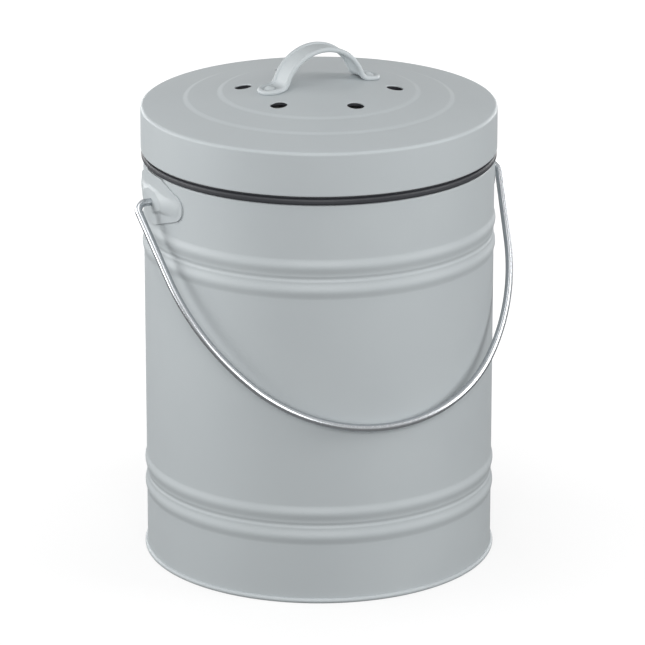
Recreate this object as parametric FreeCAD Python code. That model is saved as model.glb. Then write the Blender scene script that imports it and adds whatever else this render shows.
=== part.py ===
import FreeCAD, Part
import math
import os

# A kitchen compost bin: a sheet-steel pail with a wire bail, a plastic bucket that lifts out of it,
# and a vented lid that carries a charcoal filter. Millimetres. The bin stands on z = 0 with its axis
# on Z, and the bail turns about an axis along X and hangs to the front, towards -Y.

# Pail: rolled sheet, two pairs of swaged beads, a curled rim and a side seam at the back.
pail_radius = 87.5
pail_sheet = 0.6
rim_height = 205.4
rim_curl_radius = 1.1
bead_rise = 0.8
bead_half_width = 4.4
bead_pitch = 12.3
groove_depth = 0.35
ear_bead_gap = 0.2
lower_beads_height = 40.8
side_seam_width = 5.0
side_seam_rise = 0.45
side_seam_clearance = 3.0

# Base: a pan seamed on to the pail's lower edge, with a raised centre.
base_recess = 4.0
base_centre_rise = 1.0
base_centre_radius = 60.0
base_step_half_width = 2.0
base_seam_overhang = 1.3
base_seam_thickness = 0.8
base_fit = 0.05

# Ears: pressed plates welded to the pail's sides, raised round the pivot.
pivot_below_rim = 14.6
ear_sheet = 0.8
ear_seat_gap = 0.05
ear_top_gap = 0.3
ear_top_half_width = 10.0
ear_wing_half_width = 42.0
ear_wing_above_pivot = 2.2
ear_drop = 12.1
ear_lobe_radius = 7.0
ear_toe_radius = 12.0
ear_shoulder_radius = 2.0
ear_rim_share = 0.9
ear_pad_share = 0.36
ear_pad_standoff = 2.2
ear_skirt_standoff = 2.5

# Bail: one length of plated wire, hooked into the ears.
wire_radius = 1.9
bail_hang = 42.0
bail_lean = 9.0
bail_shoulder_radius = 130.0
bail_shoulder_angle = 30.0
bail_hook_radius = 4.5
bail_tip_gap = 0.8
bail_play = 0.08
bail_lid_clearance = 0.5
bail_rest_gap = 0.4

# Inner bucket: moulded, hung by its band on the pail's rim, with a collar for the lid.
bucket_wall = 1.6
bucket_base_gap = 1.9
bucket_taper = 5.5
bucket_slip = 0.7
bucket_seat_gap = 0.1
bucket_floor = 1.8
bucket_corner_radius = 8.0
bucket_foot_recess = 1.5
bucket_foot_width = 5.0
band_height = 3.3
band_inset = 0.25
band_edge_radius = 1.3

# Lid: pressed sheet with a hemmed skirt and a flat cone that rises in two low steps to a crown.
# It can be put on at any angle, and sits a little turned against the ears.
lid_overhang = 1.25
lid_sheet = 0.6
lid_gap = 1.1
lid_skirt_height = 22.0
lid_corner_radius = 1.8
lid_slope = 8.0
lid_border = 20.75
lid_step_height = 0.5
lid_step_width = 3.5
lid_crown_radius = 24.0
lid_crown_flat = 12.0
lid_turn = 6.5
lid_hem_height = 6.0
lid_hem_gap = 0.1
lid_slip = 0.55
vent_count = 6
vent_radius = 4.25
vent_inset = 2.05

# Gasket: a soft ring under the lid's border that closes on the bucket's collar.
gasket_thickness = 1.9
gasket_width = 4.4
gasket_seat_gap = 0.1
gasket_lid_gap = 0.35
gasket_collar_gap = 0.1

# Lid handle: a strap with rolled edges, riveted at its two feet.
handle_width = 11.8
handle_sheet = 1.0
handle_edge_radius = 1.3
handle_edge_flat = 0.3
handle_seat_gap = 0.05
handle_height = 17.7
handle_crown_radius = 22.2
handle_leg_angle = 69.0
handle_heel_radius = 4.5
handle_foot_length = 2.0
rivet_heel_gap = 0.1
rivet_tail_gap = 0.05
rivet_radius = 1.6
rivet_play = 0.05
rivet_head_radius = 2.9
rivet_head_height = 1.3
rivet_tail_radius = 2.7
rivet_tail_height = 1.1

# Filter: a felt disc in a holder under the lid, closed by a grille that twists on three lugs.
disc_radius = 43.5
disc_thickness = 11.0
disc_edge_radius = 1.5
disc_play = 0.4
disc_seat_gap = 0.2
holder_wall = 1.6
holder_plate = 1.5
holder_seat_gap = 0.05
holder_margin = 2.0
holder_vent_margin = 0.5
lug_count = 3
lug_angle = 26.0
lug_reach = 1.4
lug_height = 1.6
lug_above_edge = 0.6
cover_play = 0.3
cover_lift = 0.1
cover_wall = 1.6
cover_floor = 2.0
cover_ledge_height = 1.5
cover_edge_gap = 0.8
slot_count = 12
slot_width = 4.0
slot_inner_radius = 14.0
slot_short_inner_radius = 27.0
slot_outer_margin = 3.0
grip_length = 34.0
grip_width = 5.0
grip_height = 5.0
grip_end_radius = 2.2

Vector = FreeCAD.Vector
ORIGIN = Vector(0, 0, 0)
UP = Vector(0, 0, 1)
ALONG_X = Vector(1, 0, 0)
ALONG_Y = Vector(0, 1, 0)

# Heights and radii that several pieces share.
pivot_height = rim_height - pivot_below_rim
upper_beads_height = pivot_height - ear_drop - ear_bead_gap - bead_half_width - bead_pitch / 2
base_top = base_recess + base_centre_rise + pail_sheet
lid_radius = pail_radius + lid_overhang
lid_hem = 2 * lid_sheet + lid_hem_gap
band_bottom = rim_height + bucket_seat_gap
band_top = band_bottom + band_height
lid_bottom = band_top + lid_gap
lid_edge_height = lid_bottom + lid_skirt_height
collar_radius = lid_radius - lid_hem - lid_slip
holder_inner = disc_radius + disc_play
holder_outer = holder_inner + holder_wall
vent_circle = holder_inner - vent_inset - vent_radius
slope = math.radians(lid_slope)
fall = math.tan(slope)
step_rise = lid_step_height + lid_step_width * fall
step_top_radius = holder_outer + holder_margin
step_foot_radius = step_top_radius + lid_step_width
border_inner = lid_radius - lid_border
border_height = lid_edge_height + lid_border * fall
ring_outer = border_inner - lid_step_width
ring_low_height = border_height + step_rise
ring_foot_height = ring_low_height + (ring_outer - step_foot_radius) * fall
step_top_height = ring_foot_height + step_rise
cone_apex = step_top_height + step_top_radius * fall
crown_arc_radius = (lid_crown_radius - lid_crown_flat) / math.sin(slope)
lid_top = cone_apex - lid_crown_radius * fall + crown_arc_radius * (1 - math.cos(slope))
corner_centre_radius = lid_radius - lid_corner_radius
corner_tangent_radius = corner_centre_radius + lid_corner_radius * math.sin(slope)
corner_tangent_height = lid_edge_height + (lid_radius - corner_tangent_radius) * fall
corner_centre_height = corner_tangent_height - lid_corner_radius * math.cos(slope)
gasket_bottom = corner_tangent_height - lid_sheet - gasket_thickness
collar_top = gasket_bottom - gasket_collar_gap
foot_rise = handle_edge_radius - handle_edge_flat + handle_seat_gap


def point(radius, height):
    return Vector(radius, 0, height)


def on_circle(centre, radius, degrees):
    angle = math.radians(degrees)
    return (centre[0] + radius * math.cos(angle), centre[1] + radius * math.sin(angle))


def arc_round(centre, radius, start, end):
    """An arc step: a point half way round, then the end point."""
    return (on_circle(centre, radius, (start + end) / 2), on_circle(centre, radius, end))


def s_curve(start, end, lean=0.0, upright=True):
    """Two equal arcs that leave and arrive in one direction, upright or flat, leaning by an angle."""
    turn = math.radians(lean)
    way = (math.sin(turn), math.cos(turn)) if upright else (math.cos(turn), math.sin(turn))
    chord = ((end[0] - start[0]) / 2, (end[1] - start[1]) / 2)
    if way[0] * chord[0] + way[1] * chord[1] < 0:
        way = (-way[0], -way[1])
    length = math.hypot(chord[0], chord[1])
    across = (-chord[1] / length, chord[0] / length)
    side = way[0] * across[0] + way[1] * across[1]
    bow = length / 2 * math.tan(math.asin(side) / 2)
    middle = (start[0] + chord[0], start[1] + chord[1])
    first = (start[0] + chord[0] / 2 + across[0] * bow, start[1] + chord[1] / 2 + across[1] * bow)
    second = (end[0] - chord[0] / 2 - across[0] * bow, end[1] - chord[1] / 2 - across[1] * bow)
    return [(first, middle), (second, end)]


def edges_along(start, steps, place=point):
    """Edges through a start point and steps, each an end point or an arc's middle and end."""
    edges = []
    here = start
    for step in steps:
        if isinstance(step[0], tuple):
            edges.append(Part.Arc(place(*here), place(*step[0]), place(*step[1])).toShape())
            here = step[1]
        elif math.dist(here, step) > 1e-6:
            edges.append(Part.LineSegment(place(*here), place(*step)).toShape())
            here = step
    return edges


def section(start, steps, place=point):
    """A closed flat face from a start point and its steps."""
    return Part.Face(Part.Wire(edges_along(start, list(steps) + [start], place)))


def revolve(face, degrees=360.0):
    return face.revolve(ORIGIN, UP, degrees)


def ring(inner, outer, low, high):
    """A plain ring, or a disc where inner is nothing."""
    disc = Part.makeCylinder(outer, high - low, Vector(0, 0, low))
    if inner > 0:
        disc = disc.cut(Part.makeCylinder(inner, high - low, Vector(0, 0, low)))
    return disc


def turned(shape, degrees):
    copy = shape.copy()
    copy.rotate(ORIGIN, UP, degrees)
    return copy


def rounded_outline(corners, radii, x):
    """A closed wire in the plane at x through corners given as (y, z), each rounded by its radius."""
    steps = []
    for index, corner in enumerate(corners):
        before = corners[index - 1]
        after = corners[(index + 1) % len(corners)]
        to_before = math.atan2(before[1] - corner[1], before[0] - corner[0])
        to_after = math.atan2(after[1] - corner[1], after[0] - corner[0])
        half = abs((to_after - to_before + math.pi) % (2 * math.pi) - math.pi) / 2
        reach = radii[index] / math.tan(half)
        inward = (math.cos(to_before) + math.cos(to_after), math.sin(to_before) + math.sin(to_after))
        depth = (radii[index] / math.sin(half) - radii[index]) / math.hypot(inward[0], inward[1])
        entry = (corner[0] + reach * math.cos(to_before), corner[1] + reach * math.sin(to_before))
        crest = (corner[0] + depth * inward[0], corner[1] + depth * inward[1])
        leave = (corner[0] + reach * math.cos(to_after), corner[1] + reach * math.sin(to_after))
        steps += [entry, (crest, leave)]
    start = steps[0]
    return Part.Wire(edges_along(start, steps[1:] + [start], lambda y, z: Vector(x, y, z)))


# Pail
def wall_steps(radius, low):
    """The wall's line up from its lower end at low, with a groove between each pair of beads."""
    steps = []
    for pair in (lower_beads_height, upper_beads_height):
        swages = (
            (pair - bead_pitch / 2, bead_half_width, bead_rise),
            (pair, bead_pitch / 2 - bead_half_width, -groove_depth),
            (pair + bead_pitch / 2, bead_half_width, bead_rise),
        )
        for height, half_width, rise in swages:
            foot = (radius, height - half_width)
            crown = (radius + rise, height)
            up = s_curve(foot, crown)
            down = s_curve(crown, (radius, height + half_width))
            steps += [foot, up[0], (crown, down[0][1]), down[1]]
    return (radius, low), steps


def reversed_steps(start, steps):
    """The same line walked from its far end back to its start."""
    ends = [start] + [step[1] if isinstance(step[0], tuple) else step for step in steps]
    back = []
    for index in range(len(steps), 0, -1):
        step = steps[index - 1]
        back.append((step[0], ends[index - 1]) if isinstance(step[0], tuple) else ends[index - 1])
    return ends[-1], back


def pail_wall():
    curl = (pail_radius - rim_curl_radius, rim_height - rim_curl_radius)
    bore = rim_curl_radius - pail_sheet
    low = base_seam_thickness + base_fit
    start, outside = wall_steps(pail_radius, low)
    inside_end, inside = reversed_steps(*wall_steps(pail_radius - pail_sheet, low))
    rim = [(pail_radius, curl[1]), arc_round(curl, rim_curl_radius, 0, 135)]
    rim += [arc_round(curl, rim_curl_radius, 135, 270), on_circle(curl, bore, 270)]
    rim += [arc_round(curl, bore, 270, 135), arc_round(curl, bore, 135, 0)]
    shell = revolve(section(start, outside + rim + [inside_end] + inside))
    return shell.fuse(side_seam()).removeSplitter()


def side_seam():
    """A flat lock seam down the back, which follows the beads."""
    low = base_seam_thickness + 2 * base_seam_overhang + side_seam_clearance
    high = rim_height - 2 * rim_curl_radius - side_seam_clearance
    start, outside = wall_steps(pail_radius + side_seam_rise, low)
    inside_end, inside = reversed_steps(*wall_steps(pail_radius - pail_sheet / 2, low))
    top = [(pail_radius + side_seam_rise, high), (pail_radius - pail_sheet / 2, high)]
    span = math.degrees(side_seam_width / pail_radius)
    strip = revolve(section(start, outside + top + [inside_end] + inside), span)
    return turned(strip, 90 - span / 2)


def pail_base():
    lip_radius = base_seam_overhang - base_fit
    lip = (pail_radius + base_fit, lip_radius)
    channel = pail_radius - pail_sheet - base_fit
    skirt = channel - pail_sheet
    edge = pail_sheet / 2
    crown = base_recess + base_centre_rise
    low_step = (base_centre_radius + base_step_half_width, base_recess)
    high_step = (base_centre_radius - base_step_half_width, crown)
    steps = [high_step] + s_curve(high_step, low_step, upright=False)
    steps += [(skirt, base_recess), (skirt, edge)]
    steps += [arc_round((skirt + edge, edge), edge, 180, 270), (lip[0], 0)]
    steps += [arc_round(lip, lip_radius, -90, 0), arc_round(lip, lip_radius, 0, 90)]
    steps += [(lip[0], base_seam_thickness), (channel, base_seam_thickness)]
    steps += [(channel, base_recess), (channel - pail_sheet, base_recess + pail_sheet)]
    steps += [(low_step[0], low_step[1] + pail_sheet)]
    steps += s_curve(steps[-1], (high_step[0], base_top), upright=False)
    steps += [(0, base_top)]
    return revolve(section((0, crown), steps))


# Ears
def ear_outline(share, x):
    """The ear's rounded kite, drawn in towards the pivot by a share, in the plane at x."""
    top = rim_height - ear_top_gap - pivot_height
    corners = [(ear_top_half_width, top), (-ear_top_half_width, top)]
    corners += [(-ear_wing_half_width, ear_wing_above_pivot), (0, -ear_drop)]
    corners += [(ear_wing_half_width, ear_wing_above_pivot)]
    radii = [ear_shoulder_radius] * 2 + [ear_lobe_radius, ear_toe_radius, ear_lobe_radius]
    placed = [(share * y, pivot_height + share * z) for y, z in corners]
    return rounded_outline(placed, [share * radius for radius in radii], x)


def ear_rise(inset):
    """The raised part, from near the ear's edge up to a flat pad round the pivot."""
    skirt = ear_outline(ear_rim_share - inset / ear_wing_half_width, pail_radius - ear_skirt_standoff - inset)
    pad = ear_outline(ear_pad_share - inset / ear_wing_half_width, pail_radius + ear_pad_standoff - inset)
    return Part.makeLoft([skirt, pad], True, True)


def right_ear():
    seat = pail_radius + ear_seat_gap
    pad = pail_radius + ear_pad_standoff
    blank = Part.Face(ear_outline(1.0, 0)).extrude(Vector(pad, 0, 0))
    plate = blank.common(ring(0, seat + ear_sheet, 0, rim_height))
    pocket = ear_rise(ear_sheet)
    pail_body = Part.makeCylinder(seat, rim_height)
    pivot = Part.makeCylinder(wire_radius + bail_play, pad, Vector(0, 0, pivot_height), ALONG_X)
    return plate.fuse(ear_rise(0.0)).cut(pocket).cut(pail_body).cut(pivot).removeSplitter()


def left_ear():
    return turned(right_ear(), 180)


# Bail
def bail_handle():
    lean = math.radians(bail_lean)
    drop = (pail_radius + wire_radius + bail_rest_gap) / math.sin(math.radians(bail_hang))
    leg_at_lid = lid_radius + bail_lid_clearance + wire_radius / math.cos(lean)
    spread = leg_at_lid + (corner_centre_height - pivot_height) * math.tan(lean)
    bend = lean + math.radians(bail_shoulder_angle)
    squeeze = (1 - math.sin(bend)) / math.cos(bend)
    tuck = bail_shoulder_radius * (math.cos(lean) - math.cos(bend))
    sag = bail_shoulder_radius * (math.sin(bend) - math.sin(lean))
    leg = (drop - sag - squeeze * (spread - tuck)) / (math.cos(lean) - squeeze * math.sin(lean))
    leg_end = (spread - leg * math.sin(lean), -leg * math.cos(lean))
    shoulder = on_circle(leg_end, bail_shoulder_radius, 180 - bail_lean)
    bow = (leg_end[0] - tuck) / math.cos(bend)
    centre = (0, bow - drop)
    bow_angle = bail_lean + bail_shoulder_angle
    tip = pail_radius + bail_tip_gap
    reach = bail_hook_radius / math.tan((math.pi / 2 - lean) / 2)
    hook = (spread - reach, -bail_hook_radius)
    steps = [(spread - reach, 0)]
    steps += [arc_round(hook, bail_hook_radius, 90, -bail_lean)]
    steps += [leg_end, arc_round(shoulder, bail_shoulder_radius, -bail_lean, -bow_angle)]
    steps += [arc_round(centre, bow, -bow_angle, -90)]
    half = Part.Wire(edges_along((tip, 0), steps))
    circle = Part.Wire(Part.makeCircle(wire_radius, point(tip, 0), ALONG_X))
    wire = half.makePipeShell([circle], True, False)
    bail = wire.fuse(turned(wire, 180)).removeSplitter()
    bail.rotate(ORIGIN, ALONG_X, -bail_hang)
    bail.translate(Vector(0, 0, pivot_height))
    return bail


# Inner bucket
def inner_bucket():
    top = pail_radius - 2 * rim_curl_radius - bucket_slip
    low = top - bucket_taper
    bottom = base_top + bucket_base_gap
    floor = bottom + bucket_foot_recess + bucket_floor
    band_edge = lid_radius - band_inset
    foot = low - bucket_corner_radius
    inner_corner = bucket_corner_radius - bucket_wall
    nose_low = (band_edge - band_edge_radius, band_bottom + band_edge_radius)
    nose_high = (band_edge - band_edge_radius, band_top - band_edge_radius)
    steps = [(foot - bucket_foot_width, bottom + bucket_foot_recess)]
    steps += [(foot - bucket_foot_width + bucket_foot_recess, bottom), (foot, bottom)]
    steps += [arc_round((foot, bottom + bucket_corner_radius), bucket_corner_radius, -90, 0)]
    steps += [(top, band_bottom), (nose_low[0], band_bottom), arc_round(nose_low, band_edge_radius, -90, 0)]
    steps += [(band_edge, nose_high[1]), arc_round(nose_high, band_edge_radius, 0, 90)]
    steps += [(collar_radius, band_top), (collar_radius, collar_top)]
    steps += [(collar_radius - bucket_wall, collar_top), (collar_radius - bucket_wall, band_top)]
    steps += [(top - bucket_wall, band_bottom), (low - bucket_wall, floor + inner_corner)]
    steps += [arc_round((foot, floor + inner_corner), inner_corner, 0, -90), (0, floor)]
    return revolve(section((0, bottom + bucket_foot_recess), steps))


# Lid
def lid_line(drop):
    """The lid's top from its centre out to its corner, lowered by drop."""
    crown = (lid_crown_flat, lid_top - drop - crown_arc_radius)
    inner_step = (step_top_radius, step_top_height - drop)
    steps = [(lid_crown_flat, lid_top - drop), arc_round(crown, crown_arc_radius, 90, 90 - lid_slope)]
    steps += [inner_step]
    steps += s_curve(inner_step, (step_foot_radius, ring_foot_height - drop), -lid_slope, upright=False)
    outer_step = (ring_outer, ring_low_height - drop)
    steps += [outer_step]
    steps += s_curve(outer_step, (border_inner, border_height - drop), -lid_slope, upright=False)
    return (0, lid_top - drop), steps


def lid_shell():
    corner = (corner_centre_radius, corner_centre_height)
    inner_radius = lid_radius - lid_sheet
    fold = (lid_radius - lid_hem / 2, lid_bottom + lid_hem / 2)
    start, top = lid_line(0.0)
    under_end, under = reversed_steps(*lid_line(lid_sheet))
    tangent = 90 - lid_slope
    steps = top + [on_circle(corner, lid_corner_radius, tangent)]
    steps += [arc_round(corner, lid_corner_radius, tangent, 0), (lid_radius, fold[1])]
    steps += [arc_round(fold, lid_hem / 2, 0, -90), arc_round(fold, lid_hem / 2, -90, -180)]
    steps += [(lid_radius - lid_hem, lid_bottom + lid_hem_height)]
    steps += [(inner_radius, lid_bottom + lid_hem_height + lid_sheet), (inner_radius, corner[1])]
    steps += [arc_round(corner, lid_corner_radius - lid_sheet, 0, tangent), under_end]
    shell = revolve(section(start, steps + under))
    for hole in vent_holes(vent_radius) + rivet_holes():
        shell = shell.cut(hole)
    return shell


def vent_holes(radius):
    """Upright cylinders through the lid and the holder, evenly spaced between the handle's feet."""
    drill = Part.makeCylinder(radius, lid_top - lid_bottom, Vector(vent_circle, 0, lid_bottom))
    return [turned(drill, 360 * (index + 0.5) / vent_count) for index in range(vent_count)]


def lid_gasket():
    inner = corner_tangent_radius - gasket_width
    top = corner_tangent_height - lid_sheet - gasket_seat_gap
    outer = lid_radius - lid_sheet - lid_corner_radius / 2
    shoulder = top - gasket_lid_gap
    steps = [(outer, gasket_bottom), (outer, shoulder), (corner_tangent_radius, top)]
    steps += [(inner, top + gasket_width * fall)]
    return revolve(section((inner, gasket_bottom), steps))


# Lid handle
def handle_line(offset):
    """Half of the strap's arch from its heel to its crown, offset outwards; a point and its steps."""
    angle = math.radians(handle_leg_angle)
    crown = (0, lid_top + handle_height - handle_crown_radius)
    leg_top = on_circle(crown, handle_crown_radius, 90 - handle_leg_angle)
    sole = cone_apex + foot_rise / math.cos(slope)
    run = (leg_top[1] + leg_top[0] * fall - sole) / (math.sin(angle) - fall * math.cos(angle))
    knee = (leg_top[0] + run * math.cos(angle), leg_top[1] - run * math.sin(angle))
    foot = on_circle(knee, handle_heel_radius * math.tan((angle - slope) / 2), -lid_slope)
    heel = on_circle(foot, handle_heel_radius, 90 - lid_slope)
    lower = handle_heel_radius - offset
    upper = handle_crown_radius + offset
    steps = [arc_round(heel, lower, -90 - lid_slope, -90 - handle_leg_angle)]
    steps += [on_circle(crown, upper, 90 - handle_leg_angle)]
    steps += [arc_round(crown, upper, 90 - handle_leg_angle, 90)]
    return on_circle(heel, lower, -90 - lid_slope), steps


def mirrored_steps(start, steps):
    """The line from its start to the middle, and on to its mirror image."""
    def flip(end):
        return (-end[0], end[1])
    mirror = [(flip(step[0]), flip(step[1])) if isinstance(step[0], tuple) else flip(step) for step in steps]
    return steps + reversed_steps(flip(start), mirror)[1]


def on_feet(shape):
    """A shape drawn at a foot, level and pointing along X, laid on the lid's slope at both feet."""
    copy = shape.copy()
    copy.rotate(ORIGIN, ALONG_Y, lid_slope)
    copy.translate(point(*handle_line(0.0)[0]))
    return [copy, turned(copy, 180)]


def handle_arch():
    """The flat middle of the strap, from heel to heel."""
    half = handle_sheet / 2
    outer_start, outer = handle_line(half)
    inner_start, inner = handle_line(-half)
    far = (-inner_start[0], inner_start[1])
    back = reversed_steps(inner_start, mirrored_steps(inner_start, inner))[1]
    arch = section(outer_start, mirrored_steps(outer_start, outer) + [far] + back)
    strap = arch.extrude(ALONG_Y * handle_width)
    strap.translate(ALONG_Y * (-handle_width / 2))
    return strap


def handle_edge():
    """The rolled edge: a bead along one long side of the arch."""
    start, half = handle_line(0.0)
    path = Part.Wire(edges_along(start, mirrored_steps(start, half)))
    way = Vector(-math.cos(slope), 0, math.sin(slope))
    roll = Part.Wire(Part.makeCircle(handle_edge_radius, point(*start), way))
    bead = path.makePipeShell([roll], True, False)
    bead.translate(ALONG_Y * (-handle_width / 2))
    return bead


def handle_foot():
    """A tab with a round end, and the rolled edge that goes round it."""
    half = handle_width / 2
    low = Vector(0, -half, -handle_sheet / 2)
    tab = Part.makeBox(handle_foot_length, handle_width, handle_sheet, low)
    tab = tab.fuse(Part.makeCylinder(half, handle_sheet, Vector(handle_foot_length, 0, low.z)))
    for side in (-half, half):
        bead = Part.makeCylinder(handle_edge_radius, handle_foot_length, ALONG_Y * side, ALONG_X)
        tab = tab.fuse(bead)
    centre = Vector(handle_foot_length, 0, 0)
    roll = Part.Wire(Part.makeCircle(handle_edge_radius, centre - ALONG_Y * half, ALONG_X))
    return tab.fuse(Part.Face(roll).revolve(centre, UP, 180))


def under_handle():
    """The room that the lid's top takes under the handle."""
    start, top = lid_line(-handle_seat_gap)
    outside = [(step_top_radius, lid_bottom), (0, lid_bottom)]
    return revolve(section(start, top[:3] + outside))


def lid_handle():
    bead = handle_edge()
    handle = handle_arch().fuse([bead, turned(bead, 180)] + on_feet(handle_foot()))
    handle = handle.cut(under_handle()).removeSplitter()
    for hole in rivet_holes():
        handle = handle.cut(hole)
    return handle


# The rivets stand square on the lid's slope; their tails close under the holder's plate.
rivet_reach = rivet_heel_gap + rivet_head_radius
rivet_tail_top = -foot_rise - (lid_sheet + holder_seat_gap + holder_plate) * math.cos(slope) - rivet_tail_gap


def rivet_holes():
    """Holes through the strap's feet, the lid and the holder's plate."""
    low = rivet_tail_top - rivet_tail_height
    hole = Part.makeCylinder(rivet_radius + rivet_play, handle_sheet - low, Vector(rivet_reach, 0, low))
    return on_feet(hole)


def handle_rivets():
    """Domed rivets, set under the holder's plate."""
    seat = handle_sheet / 2
    tail_low = rivet_tail_top - rivet_tail_height
    bulge = (rivet_head_radius ** 2 + rivet_head_height ** 2) / (2 * rivet_head_height)
    centre = (0, seat + rivet_head_height - bulge)
    rim = math.degrees(math.asin((seat - centre[1]) / bulge))
    steps = [(rivet_tail_radius, tail_low), (rivet_tail_radius, rivet_tail_top)]
    steps += [(rivet_radius, rivet_tail_top), (rivet_radius, seat), (rivet_head_radius, seat)]
    steps += [arc_round(centre, bulge, rim, 90)]
    rivet = revolve(section((0, tail_low), steps))
    rivet.translate(ALONG_X * rivet_reach)
    return Part.makeCompound(on_feet(rivet))


# Filter
def holder_roof(radius):
    """How high the holder's plate reaches under the lid's cone."""
    return cone_apex - radius * fall - lid_sheet - holder_seat_gap


disc_top = holder_roof(holder_inner) - holder_plate - disc_play
disc_bottom = disc_top - disc_thickness
cover_floor_top = disc_bottom - disc_seat_gap
holder_edge = cover_floor_top + cover_edge_gap
lug_low = holder_edge + lug_above_edge
lug_top = lug_low + lug_height
lug_radius = holder_outer + lug_reach
cover_inner = lug_radius + cover_play
cover_outer = cover_inner + cover_wall


def wedge(inner, outer, low, high, degrees):
    """A part of a ring, centred on +X."""
    steps = [(outer, low), (outer, high), (inner, high)]
    return turned(revolve(section((inner, low), steps), degrees), -degrees / 2)


def filter_holder():
    """A shallow cup that follows the lid's cone, open downwards, with lugs outside its edge."""
    peak = holder_roof(lid_crown_radius)
    steps = [(lid_crown_radius, peak), (holder_outer, holder_roof(holder_outer)), (holder_outer, holder_edge)]
    steps += [(holder_inner, holder_edge), (holder_inner, holder_roof(holder_inner) - holder_plate)]
    steps += [(lid_crown_radius, peak - holder_plate), (0, peak - holder_plate)]
    cup = revolve(section((0, peak), steps))
    lug = wedge(holder_outer - holder_wall / 2, lug_radius, lug_low, lug_top, lug_angle)
    for index in range(lug_count):
        cup = cup.fuse(turned(lug, 360 * index / lug_count))
    for hole in vent_holes(vent_radius + holder_vent_margin) + rivet_holes():
        cup = cup.cut(hole)
    return cup.removeSplitter()


def filter_disc():
    disc = ring(0, disc_radius, disc_bottom, disc_top)
    return disc.makeFillet(disc_edge_radius, [edge for edge in disc.Edges if edge.Closed])


def filter_cover():
    """A grille in a rim whose inner ledges hang on the holder's lugs."""
    floor_low = cover_floor_top - cover_floor
    ledge_low = lug_top + cover_lift
    rim_top = ledge_low + cover_ledge_height
    cover = ring(0, cover_outer, floor_low, rim_top).cut(ring(0, cover_inner, cover_floor_top, rim_top))
    ledge = wedge(holder_outer + cover_play, cover_inner + cover_wall / 2, ledge_low, rim_top, lug_angle)
    for index in range(lug_count):
        cover = cover.fuse(turned(ledge, 360 * index / lug_count))
    outer = disc_radius - slot_outer_margin
    for index in range(slot_count):
        inner = slot_short_inner_radius if index % 2 else slot_inner_radius
        cover = cover.cut(turned(grille_slot(inner, outer, floor_low), 360 * index / slot_count))
    return cover.fuse(cover_grip(floor_low)).removeSplitter()


def grille_slot(inner, outer, low):
    """A slot with round ends that runs outwards along X."""
    half = slot_width / 2
    steps = [(outer - half, -half), ((outer, 0), (outer - half, half)), (inner + half, half)]
    steps += [((inner, 0), (inner + half, -half))]
    face = section((inner + half, -half), steps, lambda x, y: Vector(x, y, low))
    return face.extrude(UP * cover_floor)


def cover_grip(top):
    """A bar with rounded ends across the middle, to turn the cover by."""
    grip = Part.makeBox(grip_length, grip_width, grip_height)
    grip.translate(Vector(-grip_length / 2, -grip_width / 2, top - grip_height))
    ends = [edge for edge in grip.Edges if edge.BoundBox.ZLength > grip_height / 2]
    return grip.makeFillet(grip_end_radius, ends)


NODES = {
    "pail_wall": pail_wall,
    "pail_base": pail_base,
    "left_ear": left_ear,
    "right_ear": right_ear,
    "bail_handle": bail_handle,
    "inner_bucket": inner_bucket,
    "lid_shell": lid_shell,
    "lid_gasket": lid_gasket,
    "lid_handle": lid_handle,
    "handle_rivets": handle_rivets,
    "filter_holder": filter_holder,
    "filter_disc": filter_disc,
    "filter_cover": filter_cover,
}

ON_LID = ("lid_shell", "lid_gasket", "lid_handle", "handle_rivets")
ON_LID += ("filter_holder", "filter_disc", "filter_cover")

os.makedirs("parts", exist_ok=True)
for name, make in NODES.items():
    shape = turned(make(), lid_turn) if name in ON_LID else make()
    shape.exportStep("parts/" + name + ".step")
    print(name, "solids", len(shape.Solids), "valid", shape.isValid(), "volume", round(shape.Volume, 1))
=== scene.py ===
# %% [markdown]
# # A kitchen compost bin
# The bin is a pail of thin sheet steel under a pale grey powder coat. A black plastic bucket hangs
# in it, a pressed lid with a strap handle closes it, and a wire bail carries it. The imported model
# gives each piece its place and each moving body its joint, and it could be shown as it is. Its
# meshes are loose flat triangles, though, and thin sheet lives by its soft bends, so the pieces
# are modelled again here at the same sizes and ride on the same bodies.

# %% Load the frame
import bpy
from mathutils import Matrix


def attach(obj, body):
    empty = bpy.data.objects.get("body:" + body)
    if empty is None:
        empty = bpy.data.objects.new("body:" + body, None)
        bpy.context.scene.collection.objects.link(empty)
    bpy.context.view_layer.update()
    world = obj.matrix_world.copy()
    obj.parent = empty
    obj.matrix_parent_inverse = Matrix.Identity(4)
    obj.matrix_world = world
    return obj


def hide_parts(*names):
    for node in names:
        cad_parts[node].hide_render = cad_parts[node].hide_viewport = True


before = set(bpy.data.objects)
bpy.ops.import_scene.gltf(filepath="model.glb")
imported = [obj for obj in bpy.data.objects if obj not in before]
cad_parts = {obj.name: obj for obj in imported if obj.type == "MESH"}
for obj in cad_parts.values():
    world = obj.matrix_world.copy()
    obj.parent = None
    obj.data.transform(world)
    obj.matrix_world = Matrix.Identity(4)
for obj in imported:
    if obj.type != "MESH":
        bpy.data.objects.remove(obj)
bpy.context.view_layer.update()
print("nodes:", sorted(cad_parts))

# %% [markdown]
# ## Drawing a line and turning it
# A pail, a lid and a bucket are round, as pieces spun or pressed from a disc are. Such a piece
# could start as a cylinder that is cut into rings, but a line drawn as its cut edge says more with
# less: one vertex is extruded from point to point, and the spin operator turns the line about the
# axis. Sizes are in millimetres, and a point is (radius, height).

# %% Draw and turn
import bpy
import bmesh
import math

MM = 0.001
AROUND = 160  # steps in a full turn
ORIGIN, UP = (0, 0, 0), (0, 0, 1)
SAME_POINT = 1e-7  # metres
CLOSE = 0.01  # millimetres, for points that should lie on a plane or an edge


def merge_all():
    """In edit mode, selects everything and merges what lies on itself."""
    bpy.ops.mesh.select_all(action="SELECT")
    bpy.ops.mesh.remove_doubles(threshold=SAME_POINT)


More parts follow.
